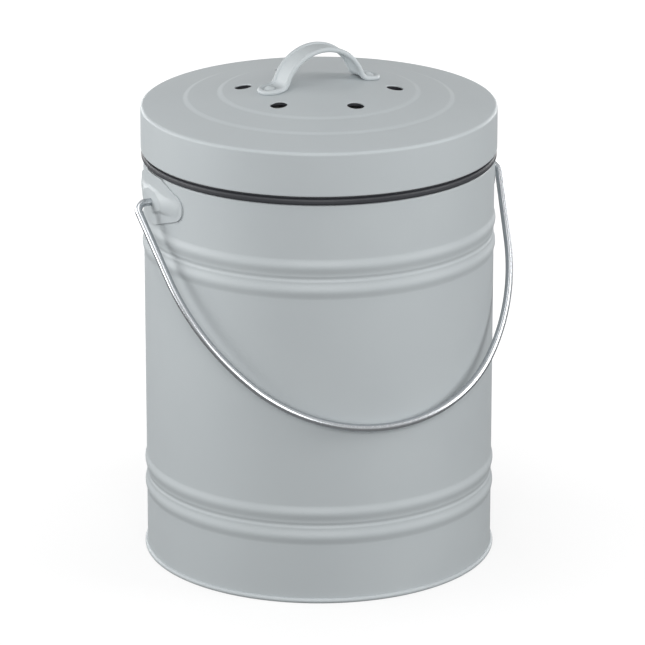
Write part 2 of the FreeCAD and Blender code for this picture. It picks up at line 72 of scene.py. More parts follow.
def draw(name, points):
    """A new piece that holds one line: a plane merged to a vertex, which is extruded on."""
    bpy.ops.object.select_all(action="DESELECT")
    bpy.ops.mesh.primitive_plane_add(size=MM)
    piece = bpy.context.object
    piece.name = piece.data.name = name
    bpy.ops.object.mode_set(mode="EDIT")
    bpy.ops.mesh.merge(type="CENTER")
    bpy.ops.transform.translate(value=[place * MM for place in points[0]])
    for here, there in zip(points, points[1:]):
        way = [(b - a) * MM for a, b in zip(here, there)]
        bpy.ops.mesh.extrude_region_move(TRANSFORM_OT_translate={"value": way})
    merge_all()
    return piece


def close_up():
    """Merges what lies on itself, turns the faces outwards and leaves edit mode."""
    merge_all()
    bpy.ops.mesh.normals_make_consistent(inside=False)
    bpy.ops.object.mode_set(mode="OBJECT")


def turn(name, line, steps=AROUND):
    """Spins a line of (radius, height) points once about the bin's axis."""
    piece = draw(name, [(radius, 0, height) for radius, height in line])
    bpy.ops.mesh.spin(steps=steps, angle=2 * math.pi, center=ORIGIN, axis=UP)
    close_up()
    return piece


def measure(piece):
    """Prints a piece's size in millimetres and how many faces it has."""
    size = " x ".join(str(round(side / MM, 1)) for side in piece.dimensions)
    print(piece.name, "is", size, "mm with", len(piece.data.polygons), "faces")


# %% [markdown]
# ## Round corners in a line
# Sheet never bends to a sharp corner. A bevel could round the finished mesh, but it is surer to
# give each corner of the line its bend radius and to draw the bend as a short arc.

# %% Arcs, rounded lines and soft steps
def arc(centre, radius, start, end, pieces):
    """Points along an arc, both ends included; angles in degrees from the first axis."""
    angles = [math.radians(start + (end - start) * index / pieces) for index in range(pieces + 1)]
    return [(centre[0] + radius * math.cos(a), centre[1] + radius * math.sin(a)) for a in angles]


def rounded(corners, pieces=5, closed=False):
    """A line through (x, y, radius) corners, each with a bend of its own radius."""
    points = []
    last = len(corners) - 1
    for index, (x, y, radius) in enumerate(corners):
        before = corners[index - 1]
        after = corners[(index + 1) % len(corners)]
        if radius == 0 or (not closed and index in (0, last)):
            points.append((x, y))
            continue
        entry = math.atan2(before[1] - y, before[0] - x)
        leave = math.atan2(after[1] - y, after[0] - x)
        half = ((leave - entry + math.pi) % (2 * math.pi) - math.pi) / 2
        reach = radius / abs(math.tan(half))
        depth = radius / abs(math.sin(half))
        centre = (x + depth * math.cos(entry + half), y + depth * math.sin(entry + half))
        touch = (x + reach * math.cos(entry), y + reach * math.sin(entry))
        first = math.atan2(touch[1] - centre[1], touch[0] - centre[0])
        sweep = math.copysign(math.pi - 2 * abs(half), -half)
        points += arc(centre, radius, math.degrees(first), math.degrees(first + sweep), pieces)
    return points


def soft_step(start, end, upright=True, pieces=10):
    """An S from start to end, upright or flat, that leaves and arrives without a bend."""
    points = []
    for index in range(1, pieces + 1):
        along = index / pieces
        eased = (1 - math.cos(math.pi * along)) / 2
        parts = (eased, along) if upright else (along, eased)
        points.append(tuple(a + (b - a) * part for a, b, part in zip(start, end, parts)))
    return points


# %% [markdown]
# ## The pail's wall
# The wall is sheet rolled to a tube and locked by a flat seam at the back. Two pairs of beads,
# swaged outwards with a groove between them, make it stiff, and its rim is curled inwards. The
# line is the outer skin. The seam is raised from the turned skin, between four upright cuts made
# by bisect, and Solidify then gives the skin the thickness of the sheet, inwards.

# %% Turn the wall's skin
SHEET = 0.6
PAIL_RADIUS = 87.5
WALL_FOOT = 0.85
RIM_HEIGHT = 205.4
CURL = 1.1
BEAD_PAIRS = (40.8, 167.95)
BEAD_RISE = 0.8
BEAD_HALF = 4.4
BEAD_PITCH = 12.3
GROOVE = 0.35
SEAM_LOW, SEAM_HIGH = 6.4, 200.2
SEAM_EASE = 0.4


def bead_pair(middle):
    """Two beads with a groove between them."""
    swages = [(middle - BEAD_PITCH / 2, BEAD_HALF, BEAD_RISE)]
    swages += [(middle, BEAD_PITCH / 2 - BEAD_HALF, -GROOVE)]
    swages += [(middle + BEAD_PITCH / 2, BEAD_HALF, BEAD_RISE)]
    points = [(PAIL_RADIUS, middle - BEAD_PITCH / 2 - BEAD_HALF)]
    for height, half, rise in swages:
        crown = (PAIL_RADIUS + rise, height)
        points += soft_step(points[-1], crown, pieces=8)
        points += soft_step(crown, (PAIL_RADIUS, height + half), pieces=8)
    return points


wall_line = [(PAIL_RADIUS, z) for z in (WALL_FOOT, SEAM_LOW - SEAM_EASE, SEAM_LOW)]
for middle in BEAD_PAIRS:
    wall_line += bead_pair(middle)
wall_line += [(PAIL_RADIUS, SEAM_HIGH), (PAIL_RADIUS, SEAM_HIGH + SEAM_EASE)]
wall_line += arc((PAIL_RADIUS - CURL, RIM_HEIGHT - CURL), CURL, 0, 270, 18)
wall = turn("pail_wall_sheet", wall_line)
measure(wall)


# %% Pick points and apply modifiers
def pick(piece, wanted):
    """In edit mode, selects the vertices whose place in millimetres passes a test."""
    bpy.ops.mesh.select_all(action="DESELECT")
    mesh = bmesh.from_edit_mesh(piece.data)
    for vertex in mesh.verts:
        vertex.select_set(bool(wanted(*(vertex.co / MM))))
    mesh.select_flush(True)
    bmesh.update_edit_mesh(piece.data)


def choose(piece):
    """Makes a piece the active one and the only one selected."""
    bpy.ops.object.select_all(action="DESELECT")
    piece.select_set(True)
    bpy.context.view_layer.objects.active = piece


def finish_with(piece, kind, **settings):
    """Adds a modifier, sets it and applies it."""
    choose(piece)
    modifier = piece.modifiers.new(kind.lower(), kind)
    for name, value in settings.items():
        setattr(modifier, name, value)
    bpy.ops.object.modifier_apply(modifier=modifier.name)


# %% Raise the seam and give the sheet its thickness
SEAM_HALF = 2.5
SEAM_FLANK = 0.5
SEAM_RISE = 0.45
CUT_REACH = 12


def on_seam(x, y, z):
    """Whether a point lies on the seam's raised face."""
    return y > 0 and abs(x) < SEAM_HALF + CLOSE and SEAM_LOW - CLOSE < z < SEAM_HIGH + CLOSE


bpy.ops.object.mode_set(mode="EDIT")
for cut in (-SEAM_HALF - SEAM_FLANK, -SEAM_HALF, SEAM_HALF, SEAM_HALF + SEAM_FLANK):
    pick(wall, lambda x, y, z: y > 0 and abs(x) < CUT_REACH)
    bpy.ops.mesh.bisect(plane_co=(cut * MM, 0, 0), plane_no=(1, 0, 0))
pick(wall, on_seam)
bpy.ops.transform.translate(value=(0, SEAM_RISE * MM, 0))
bpy.ops.object.mode_set(mode="OBJECT")
finish_with(wall, "SOLIDIFY", thickness=SHEET * MM, offset=-1)
measure(wall)

# %% [markdown]
# ## The base
# The base is a pan whose edge is rolled over the wall's lower edge: from outside only the rolled
# seam shows, as a thin ring. Its line runs from the axis under the pan, round the seam and back
# over the pan, so the spin closes it to one solid.

# %% Turn the base
PAN_LOW, PAN_HIGH = 4.0, 5.0
STEP_INNER, STEP_OUTER = 58.0, 62.0
ROLL_INNER, ROLL_OUTER = 86.25, 87.55
ROLL_FLAT = 87.2
ROLL_BEND = 1.25
ROLL_GAP = 0.8

base_line = [(0, PAN_HIGH), (STEP_INNER, PAN_HIGH)]
base_line += soft_step(base_line[-1], (STEP_OUTER, PAN_LOW), upright=False, pieces=6)
base_line += rounded([
    (STEP_OUTER, PAN_LOW, 0), (ROLL_INNER, PAN_LOW, 0.8), (ROLL_INNER, 0, 0.3), (ROLL_FLAT, 0, 0),
])
base_line += arc((ROLL_OUTER, ROLL_BEND), ROLL_BEND, -90, 90, 14)
base_line += [(ROLL_OUTER, ROLL_GAP), (ROLL_INNER + SHEET, ROLL_GAP)]
base_line += rounded([
    (ROLL_INNER + SHEET, 1.6, 0), (ROLL_INNER + SHEET, PAN_LOW + SHEET, 1.2),
    (STEP_OUTER, PAN_LOW + SHEET, 0),
])
base_line += soft_step(base_line[-1], (STEP_INNER, PAN_HIGH + SHEET), upright=False, pieces=6)
base_line += [(0, PAN_HIGH + SHEET)]
base = turn("pail_base_pan", base_line)
measure(base)

# %% [markdown]
# ## The ears
# Each ear is a plate cut as a rounded kite, bent to the pail and welded on. Its middle is pressed
# out into a flat-topped tent, so that the bail's hook can turn behind it.
# A plain extruded kite would lose the press marks. Here the outline is drawn once, and rings are
# extruded and scaled towards the pivot, close together. Then the plate is pressed as a die would
# do it: every point moves out to the plate or to the tent, whichever is higher, with a soft bend
# where they meet.

# %% Draw the kite and its rings
PIVOT = 190.8
EAR_CORNERS = [(10, 14.3, 2), (-10, 14.3, 2), (-42, 2.2, 7), (0, -12.1, 12), (42, 2.2, 7)]
EAR_POINTS = 180
EAR_RINGS = 30
RING_STEP = 0.02


def even(points, count):
    """Points spaced evenly along a closed line."""
    ends = points + points[:1]
    lengths = [math.dist(a, b) for a, b in zip(ends, ends[1:])]
    total = sum(lengths)
    spaced, index, before = [], 0, 0.0
    for step in range(count):
        along = total * step / count
        while before + lengths[index] < along:
            before += lengths[index]
            index += 1
        share = (along - before) / lengths[index]
        spaced.append([a + (b - a) * share for a, b in zip(ends[index], ends[index + 1])])
    return spaced


kite = even(rounded(EAR_CORNERS, pieces=16, closed=True), EAR_POINTS)
outline = [(PAIL_RADIUS, y, PIVOT + z) for y, z in kite]
ear = draw("right_ear_plate", outline + outline[:1])
shares = [1.0 - RING_STEP * step for step in range(1, EAR_RINGS + 1)]
for before, share in zip([1.0] + shares, shares):
    bpy.ops.mesh.extrude_region_move(TRANSFORM_OT_translate={"value": (0, 0, 0)})
    scale = share / before
    bpy.ops.transform.resize(value=(1, scale, scale), center_override=(0, 0, PIVOT * MM))
close_up()
measure(ear)

# %% Press the tent and pierce the pivot
PIERCED = 1.98
TENT_EDGE = 0.9
PAD_EDGE = 0.36
PLATE_FACE = PAIL_RADIUS + 0.85
PAD_FACE = PAIL_RADIUS + 2.2
TENT_FOOT = PAIL_RADIUS - 2.5
PAD_BEND, PLATE_BEND = 0.4, 0.25
EAR_SHEET = 0.8
EAR_ROUND = 0.2


def meet(first, second, bend):
    """The higher of two heights, with a soft bend where they meet."""
    apart = first - second
    return (first + second + math.sqrt(apart * apart + bend * bend)) / 2


def pressed(share, y):
    """How far out the plate's face lies at a share of the outline."""
    plate = math.sqrt(PLATE_FACE ** 2 - y ** 2)
    climb = (TENT_EDGE - share) / (TENT_EDGE - PAD_EDGE)
    flank = TENT_FOOT + climb * (PAD_FACE - TENT_FOOT)
    tent = -meet(-flank, -PAD_FACE, PAD_BEND)
    return meet(plate, tent, PLATE_BEND) if share < TENT_EDGE + RING_STEP / 2 else plate


def outline_at(angle):
    """The kite's point that lies nearest to an angle about the pivot."""
    def off(point):
        return abs(math.remainder(math.atan2(point[1], point[0]) - angle, 2 * math.pi))
    return min(kite, key=off)


for vertex in ear.data.vertices:
    y, z = vertex.co.y / MM, vertex.co.z / MM - PIVOT
    angle = math.atan2(z, y)
    share = math.hypot(y, z) / math.hypot(*outline_at(angle))
    vertex.co.x = pressed(share, y) * MM
    if share < shares[-1] + RING_STEP / 2:
        vertex.co.y = PIERCED * math.cos(angle) * MM
        vertex.co.z = (PIVOT + PIERCED * math.sin(angle)) * MM
finish_with(ear, "SOLIDIFY", thickness=EAR_SHEET * MM, offset=-1)
finish_with(ear, "BEVEL", width=EAR_ROUND * MM, segments=2, limit_method="ANGLE",
            angle_limit=math.radians(60))
measure(ear)


# %% Copy the ear to the other side
def about_axis(degrees):
    """Turns the selected points about the bin's axis; with no window, rotate turns backwards."""
    bpy.ops.transform.rotate(
        value=-math.radians(degrees), orient_axis="Z", center_override=ORIGIN)


def turn_mesh(piece, degrees):
    """Turns a piece about the bin's axis inside its mesh, so that its origin stays."""
    choose(piece)
    bpy.ops.object.mode_set(mode="EDIT")
    bpy.ops.mesh.select_all(action="SELECT")
    about_axis(degrees)
    bpy.ops.object.mode_set(mode="OBJECT")


bpy.ops.object.duplicate()
left_ear = bpy.context.object
left_ear.name = left_ear.data.name = "left_ear_plate"
turn_mesh(left_ear, -180)
measure(left_ear)

# %% [markdown]
# ## The bail
# The bail is one length of round wire: a short end in each ear, a hook, a straight leg that clears
# the lid, a wide shoulder and a rounder bow.
# A curve with a round bevel would also make it. Here the wire's round end is drawn and then run on
# and bent on, as on a bending bench, so every bend has its own centre and radius. The bench lies
# in the plane in which the bail hangs, leaning out by 42 degrees in front of the pail.

# %% Bend the wire
WIRE = 1.9
HANG = math.radians(42.0)
LEAN = 9.0
HOOK = 4.5
HOOK_X = 92.167
TIP_X = 88.3
LEG_END = (90.701, -42.522)
SHOULDER = 130.0
SHOULDER_ANGLE = 30.0
BOW = 81.491
DROP = 134.204
WIRE_POINTS = 28
HOOK_STEPS, SHOULDER_STEPS, BOW_STEPS = 20, 24, 72


def on_bench(x, up):
    """A point of the bail's plane, in millimetres."""
    return (x, up * math.sin(HANG), PIVOT + up * math.cos(HANG))


def run_on(way):
    """Extrudes the open end straight on."""
    steps = [step * MM for step in way]
    bpy.ops.mesh.extrude_region_move(TRANSFORM_OT_translate={"value": steps})


def bend_on(centre, axis, degrees, pieces):
    """Spins the open end about a centre; with no window, spin turns backwards."""
    place = [part * MM for part in centre]
    bpy.ops.mesh.spin(steps=pieces, angle=-math.radians(degrees), center=place, axis=axis)


bench_axis = (0, -math.cos(HANG), math.sin(HANG))
wire_round = arc((0, PIVOT), WIRE, 0, 360, WIRE_POINTS)
bail = draw("bail_wire", [(TIP_X, y, z) for y, z in wire_round])
lean = math.radians(LEAN)
hook_end = (HOOK_X + HOOK * math.cos(lean), -HOOK - HOOK * math.sin(lean))
shoulder = (LEG_END[0] - SHOULDER * math.cos(lean), LEG_END[1] + SHOULDER * math.sin(lean))
leg = [b - a for a, b in zip(on_bench(*hook_end), on_bench(*LEG_END))]
run_on((HOOK_X - TIP_X, 0, 0))
bend_on(on_bench(HOOK_X, -HOOK), bench_axis, -90 - LEAN, HOOK_STEPS)
run_on(leg)
bend_on(on_bench(*shoulder), bench_axis, -SHOULDER_ANGLE, SHOULDER_STEPS)
bend_on(on_bench(0, BOW - DROP), bench_axis, 2 * (LEAN + SHOULDER_ANGLE) - 180, BOW_STEPS)
bend_on(on_bench(-shoulder[0], shoulder[1]), bench_axis, -SHOULDER_ANGLE, SHOULDER_STEPS)
run_on((leg[0], -leg[1], -leg[2]))
bend_on(on_bench(-HOOK_X, -HOOK), bench_axis, -90 - LEAN, HOOK_STEPS)
run_on((HOOK_X - TIP_X, 0, 0))
close_up()
measure(bail)

# %% Close and round the wire's cut ends
END_ROUND = 0.35
bpy.ops.object.mode_set(mode="EDIT")
for side in (-1, 1):
    pick(bail, lambda x, y, z: abs(x - side * TIP_X) < CLOSE and z > PIVOT - 2 * WIRE)
    bpy.ops.mesh.edge_face_add()
    bpy.ops.mesh.bevel(offset=END_ROUND * MM, segments=3, affect="EDGES")
close_up()
measure(bail)

# %% [markdown]
# ## The inner bucket
# The bucket is moulded in black plastic. Its band rests on the pail's rim and shows as the dark
# line under the lid; above it a collar stands up into the lid. A mould wants the same wall all
# over and round corners, so its line goes out along the underside and back along the inside.

# %% Turn the bucket
bucket_line = rounded([
    (0, 9.0, 0), (66.1, 9.0, 0.6), (67.6, 7.5, 0.6), (79.1, 7.5, 8.0), (84.6, 205.5, 0.5),
    (88.5, 205.5, 1.2), (88.5, 208.8, 1.2), (86.9, 208.8, 0.4), (86.9, 229.52, 0.6),
    (85.3, 229.52, 0.6), (85.3, 208.8, 2.0), (83.0, 205.5, 2.0), (77.5, 10.8, 6.4), (0, 10.8, 0),
])
bucket = turn("inner_bucket_moulding", bucket_line)
measure(bucket)

# %% [markdown]
# ## The lid
# The lid is pressed from one disc: a flat cone that climbs in two low steps to a crown, a crisp
# edge, a skirt and a hem folded inwards. Six vents and two rivet holes are punched through the
# top. Its top is one height for each radius, so it is written as a function, which the handle's
# feet use again later. The holes are cut with the Boolean modifier, and a small bevel rounds the
# vents' rims as the coat does.

# %% Turn the lid
LID_RADIUS = 88.75
LID_EDGE = 231.9
SLOPE = 8
FALL = math.tan(math.radians(SLOPE))
CROWN_FLAT = 12.0
CROWN_EDGE = 24.0
STEP_FEET = (68.0, 51.0)
STEP_WIDE, STEP_RISE = 3.5, 0.5
EDGE_BEND = 1.8
EDGE_CENTRE = (LID_RADIUS - EDGE_BEND, 230.335)
HEM = 0.65
HEM_CENTRE = (LID_RADIUS - HEM, 210.55)


def lid_height(radius):
    """How high the lid's top lies: a flat cone with two eased steps, and the crown."""
    radius = max(radius, CROWN_FLAT)
    height = LID_EDGE + (LID_RADIUS - radius) * FALL
    for foot in STEP_FEET:
        along = min(max((foot - radius) / STEP_WIDE, 0), 1)
        height += STEP_RISE * (1 - math.cos(math.pi * along)) / 2
    inside = max(CROWN_EDGE - radius, 0)
    return height - FALL * inside ** 2 / (2 * (CROWN_EDGE - CROWN_FLAT))


# The rings lie closer where the top bends: at the crown and over the two steps.
radii = [0, 4, 8] + [12 + 1.5 * index for index in range(9)] + [30, 36, 42, 46]
radii += [47.5 + 0.35 * index for index in range(11)] + [54, 58, 62]
radii += [64.5 + 0.35 * index for index in range(11)] + [72, 77, 82]
lid_line = [(radius, lid_height(radius)) for radius in radii]
lid_line += arc(EDGE_CENTRE, EDGE_BEND, 90 - SLOPE, 0, 12)
lid_line += arc(HEM_CENTRE, HEM, 0, -180, 10)
lid_line += [(87.45, 215.6), (87.6, 215.9), (88.15, 216.5)]
lid_line += arc(EDGE_CENTRE, EDGE_BEND - SHEET, 0, 90 - SLOPE, 8)
lid_line += [(radius, lid_height(radius) - SHEET) for radius in radii[::-1]]
lid = turn("lid_pressing", lid_line)
measure(lid)

# %% Punch the vents and the rivet holes
VENT = 4.25
VENT_CIRCLE = 37.6
VENT_ROUND = 0.15
RIVET_X = 27.3
RIVET_HOLE = 1.75
PUNCH_LOW, PUNCH_HIGH = 234, 248
PUNCH_STEPS = 48


def rectangle(inner, outer, low, high):
    """The corners of an upright rectangle, as (radius, height) points."""
    return [(inner, low), (outer, low), (outer, high), (inner, high)]


def combine(piece, tool, operation):
    """Adds a tool to a piece or cuts it out, and takes the tool away."""
    finish_with(piece, "BOOLEAN", object=tool, operation=operation, solver="EXACT")
    bpy.data.objects.remove(tool)


def punch(piece, radius, places):
    """Cuts round upright holes through a piece."""
    for x, y in places:
        tool = turn("punch", rectangle(0, radius, PUNCH_LOW, PUNCH_HIGH), steps=PUNCH_STEPS)
        bpy.ops.object.mode_set(mode="EDIT")
        bpy.ops.mesh.select_all(action="SELECT")
        bpy.ops.transform.translate(value=(x * MM, y * MM, 0))
        bpy.ops.object.mode_set(mode="OBJECT")
        combine(piece, tool, "DIFFERENCE")


def on_rim(x, y, z):
    """Whether a point lies on the upper rim of a vent."""
    above = z > lid_height(math.hypot(x, y)) - SHEET / 2
    return above and any(abs(math.dist((x, y), place) - VENT) < 2 * CLOSE for place in vents)


vents = arc((0, 0), VENT_CIRCLE, 30, 330, 5)
punch(lid, VENT, vents)
punch(lid, RIVET_HOLE, [(-RIVET_X, 0), (RIVET_X, 0)])
bpy.ops.object.mode_set(mode="EDIT")
pick(lid, on_rim)
bpy.ops.mesh.bevel(offset=VENT_ROUND * MM, segments=2, affect="EDGES")
bpy.ops.object.mode_set(mode="OBJECT")
measure(lid)

# %% [markdown]
# ## The lid's handle
# The handle is a strap whose two long edges are rolled over, and the roll goes round each foot. It
# is bent to a heel at each foot, two short legs and a wide crown, and its feet lie on the lid's
# slope. The strap's cut edge is drawn once, across the first foot. Half of it, spun half round,
# makes the foot's round end, and the whole of it is then run on and bent on to the other foot. At
# the end the rolls are flattened where they stand on the lid.

# %% Draw the strap's section and turn the first foot
TILT = math.radians(SLOPE)
HEEL_X, HEEL_Z = 24.476, 242.993
FOOT = 2.0
FOOT_STEPS = 28
HALF_WIDE, HALF_THICK = 5.9, 0.5
ROLL = 1.3
SQUARE = (math.sin(TILT), 0, math.cos(TILT))


def on_foot(along, across, above):
    """A point at the first foot: along it from the heel, across it, and square above it."""
    x = HEEL_X + along * math.cos(TILT) + above * math.sin(TILT)
    return (x, across, HEEL_Z - along * math.sin(TILT) + above * math.cos(TILT))


join = math.degrees(math.asin(HALF_THICK / ROLL))
near = arc((-HALF_WIDE, 0), ROLL, join, 360 - join, 18)
far = arc((HALF_WIDE, 0), ROLL, 180 + join, 540 - join, 18)
flat = [-3.6, -1.8, 0.0, 1.8, 3.6]
section = near + [(y, -HALF_THICK) for y in flat]
section += far + [(y, HALF_THICK) for y in flat[::-1]] + near[:1]
strap = draw("lid_handle_strap", [on_foot(FOOT, y, z) for y, z in section])
pick(strap, lambda x, y, z: y < CLOSE)
bend_on(on_foot(FOOT, 0, 0), SQUARE, 180, FOOT_STEPS)
merge_all()
print("first foot: drawn from a section of", len(section) - 1, "points")

# %% Bend the arch and turn the second foot
HEEL = 4.5
CROWN = 22.2
CROWN_Z = 238.339
LEG_ANGLE = 69.0
HEEL_STEPS, CROWN_STEPS = 12, 40
ACROSS = (0, 1, 0)
SEAT = 0.05


def across_foot(side):
    """A test for points in the plane across a foot, where its round end begins."""
    x0, _, z0 = on_foot(FOOT, 0, 0)
    return lambda x, y, z: abs(
        (side * x - x0) * math.cos(TILT) - (z - z0) * math.sin(TILT)) < CLOSE


leg_angle = math.radians(LEG_ANGLE)
heel = on_foot(0, 0, HEEL)
start = on_foot(FOOT, 0, 0)
foot = [b - a for a, b in zip(start, on_foot(0, 0, 0))]
leg_top = (CROWN * math.sin(leg_angle), CROWN_Z + CROWN * math.cos(leg_angle))
leg_low = (heel[0] - HEEL * math.sin(leg_angle), heel[2] - HEEL * math.cos(leg_angle))
rise = (leg_top[0] - leg_low[0], leg_top[1] - leg_low[1])
pick(strap, across_foot(1))
run_on(foot)
bend_on(heel, ACROSS, LEG_ANGLE - SLOPE, HEEL_STEPS)
run_on((rise[0], 0, rise[1]))
bend_on((0, 0, CROWN_Z), ACROSS, -2 * LEG_ANGLE, CROWN_STEPS)
run_on((rise[0], 0, -rise[1]))
bend_on((-heel[0], 0, heel[2]), ACROSS, LEG_ANGLE - SLOPE, HEEL_STEPS)
run_on((foot[0], 0, -foot[2]))
second = across_foot(-1)
pick(strap, lambda x, y, z: second(x, y, z) and x < 0 and y > -CLOSE)
bend_on((-start[0], 0, start[2]), (-SQUARE[0], 0, SQUARE[2]), 180, FOOT_STEPS)
close_up()
for vertex in strap.data.vertices:
    ground = lid_height(math.hypot(vertex.co.x, vertex.co.y) / MM) + SEAT
    vertex.co.z = max(vertex.co.z, ground * MM)
measure(strap)

# %% [markdown]
# ## The rivets
# Two domed rivets hold the strap, the lid and the filter's holder, and stand square on the lid's
# slope. One is spun about its own leaning axis, with a thin rim under its dome, and is copied to
# the other foot inside the same mesh.

# %% Turn and copy the rivet
RIVET_ALONG = 3.0
RIVET_SHANK, RIVET_HEAD, RIVET_TAIL = 1.6, 2.9, 2.7
TAIL_LOW, TAIL_HIGH, TAIL_BEND = -4.33, -3.23, 0.5
HEAD_RIM = 0.2
DOME, DOME_SINK = 3.88, 2.58
RIVET_STEPS = 32

rivet_line = rounded([
    (0, TAIL_LOW, 0), (RIVET_TAIL, TAIL_LOW, TAIL_BEND), (RIVET_TAIL, TAIL_HIGH, 0),
    (RIVET_SHANK, TAIL_HIGH, 0), (RIVET_SHANK, HALF_THICK, 0),
])
rivet_line += [(RIVET_HEAD, HALF_THICK), (RIVET_HEAD, HALF_THICK + HEAD_RIM)]
rivet_line += arc((0, HALF_THICK - DOME_SINK), DOME, 45, 90, 8)
rivet_points = [on_foot(RIVET_ALONG + radius, 0, height) for radius, height in rivet_line]
rivets = draw("handle_rivet_pair", rivet_points)
bend_on(on_foot(RIVET_ALONG, 0, 0), SQUARE, 360, RIVET_STEPS)
bpy.ops.mesh.select_all(action="SELECT")
bpy.ops.mesh.duplicate()
about_axis(-180)
close_up()
measure(rivets)

# %% [markdown]
# ## The gasket
# A soft ring lies under the lid's border and closes on the bucket's collar. It is seen only when
# the lid is lifted.

# %% Turn the gasket
gasket_line = rounded([
    (82.8, 229.62, 0.4), (87.25, 229.62, 0.4), (87.25, 231.07, 0.15), (87.0, 231.43, 0.15),
    (82.8, 232.02, 0.4),
], closed=True)
gasket = turn("lid_gasket_ring", gasket_line + gasket_line[:1])
measure(gasket)

# %% [markdown]
# ## The filter
# Under the vents hangs a shallow plastic cup with a disc of charcoal felt in it, and a grille with
# three inner ledges hangs on the cup's lugs by a twist. Cup and grille are turned, and their lugs,
# slots and grip are added and cut with the Boolean modifier, as inserts add and cut in a mould.

# %% Turn the cup and add its lugs
CUP_STEPS = 120
LUGS, LUG_SPAN, LUG_STEPS = 3, 26, 10
VENT_ROOM = 0.5
HOLDER_HOLE, HOLDER_HOLE_X = 1.9, RIVET_X - 0.25


def part_turn(name, corners, middle, degrees):
    """A closed outline spun through an angle about the bin's axis, with both ends filled."""
    piece = draw(name, [(radius, 0, height) for radius, height in corners + corners[:1]])
    about_axis(middle - degrees / 2)
    bpy.ops.mesh.edge_face_add()
    bend_on(ORIGIN, UP, degrees, LUG_STEPS)
    close_up()
    return piece


def add_lugs(piece, corners):
    """Adds lugs with one outline to a piece, evenly about the axis."""
    for index in range(LUGS):
        combine(piece, part_turn("lug", corners, 360 / LUGS * index, LUG_SPAN), "UNION")


holder_line = rounded([
    (0, 241.35, 0), (24.0, 241.35, 2.0), (45.5, 238.33, 0.5), (45.5, 226.25, 0.4),
    (43.9, 226.25, 0.4), (43.9, 237.05, 1.0), (24.0, 239.85, 2.0), (0, 239.85, 0),
])
holder = turn("filter_holder_cup", holder_line, steps=CUP_STEPS)
add_lugs(holder, rectangle(44.6, 46.9, 226.85, 228.45))
punch(holder, VENT + VENT_ROOM, vents)
punch(holder, HOLDER_HOLE, [(-HOLDER_HOLE_X, 0), (HOLDER_HOLE_X, 0)])
measure(holder)

# %% Turn the grille, cut its slots and add its grip
SLOTS = 12
SLOT_HALF = 2.0
SLOT_END = 38.5
SLOT_LONG, SLOT_SHORT = 14.0, 27.0
SLOT_LOW, SLOT_HIGH = 222.0, 226.5
GRIP_HALF = (17, 2.5)
GRIP_BEND = 2.2
GRIP_LOW, GRIP_HIGH = 218.45, 224.0


def flat_tool(name, outline, low, high):
    """An outline of (x, y) points filled and raised from low to high."""
    tool = draw(name, [(x, y, low) for x, y in outline + outline[:1]])
    bpy.ops.mesh.edge_face_add()
    run_on((0, 0, high - low))
    close_up()
    return tool


cover_line = rounded([
    (0, 223.45, 0), (48.8, 223.45, 1.0), (48.8, 230.05, 0.4), (47.2, 230.05, 0.4),
    (47.2, 225.45, 0.8), (0, 225.45, 0),
])
cover = turn("filter_cover_grille", cover_line, steps=CUP_STEPS)
add_lugs(cover, rectangle(45.8, 48.0, 228.55, 230.0))
for index in range(SLOTS):
    inner = SLOT_SHORT if index % 2 else SLOT_LONG
    slot = arc((SLOT_END, 0), SLOT_HALF, -90, 90, 8)
    slot += arc((inner + SLOT_HALF, 0), SLOT_HALF, 90, 270, 8)
    angle = math.radians(360 / SLOTS * index)
    cos, sin = math.cos(angle), math.sin(angle)
    slot = [(x * cos - y * sin, x * sin + y * cos) for x, y in slot]
    combine(cover, flat_tool("slot", slot, SLOT_LOW, SLOT_HIGH), "DIFFERENCE")
long, wide = GRIP_HALF
ends = [(long, wide), (-long, wide), (-long, -wide), (long, -wide)]
grip = rounded([(x, y, GRIP_BEND) for x, y in ends], closed=True)
combine(cover, flat_tool("grip", grip, GRIP_LOW, GRIP_HIGH), "UNION")
measure(cover)

# %% [markdown]
# ## The felt disc
# The disc is cut from needled felt, so its faces are not quite flat and its edge is soft. It is
# turned with many rings, and Displace lifts them by a fine cloud pattern.

# %% Turn the disc and rough it
FELT_LOW, FELT_HIGH = 225.65, 236.45
FELT_RADIUS, FELT_BEND = 43.3, 1.4
FELT_FLAT = 41.0
FELT_STEPS = 140
FUZZ, FUZZ_RISE, FUZZ_LEVEL = 2.5, 0.35, 0.6

felt_line = [(radius, FELT_LOW) for radius in range(0, 42, 2)]
felt_line += rounded([
    (FELT_FLAT, FELT_LOW, 0), (FELT_RADIUS, FELT_LOW, FELT_BEND),
    (FELT_RADIUS, FELT_HIGH, FELT_BEND), (FELT_FLAT, FELT_HIGH, 0),
], pieces=6)
felt_line += [(radius, FELT_HIGH) for radius in range(40, -2, -2)]
felt = turn("filter_felt_disc", felt_line, steps=FELT_STEPS)
fuzz = bpy.data.textures.new("felt_fuzz", "CLOUDS")
fuzz.noise_scale = FUZZ * MM
finish_with(felt, "DISPLACE", texture=fuzz, strength=FUZZ_RISE * MM,
            mid_level=FUZZ_LEVEL, texture_coords="LOCAL")
measure(felt)

# %% [markdown]
# ## The lid's turn
# A round lid goes on at any angle, and this one sits a few degrees off the line between the ears.
# Its pieces were made square to that line, which is easier, and are turned now inside their
# meshes.

# %% Turn the lid's pieces
LID_TURN = 6.5
for piece in (lid, strap, rivets, holder, cover):
    turn_mesh(piece, LID_TURN)
print("lid turned by", LID_TURN, "degrees")
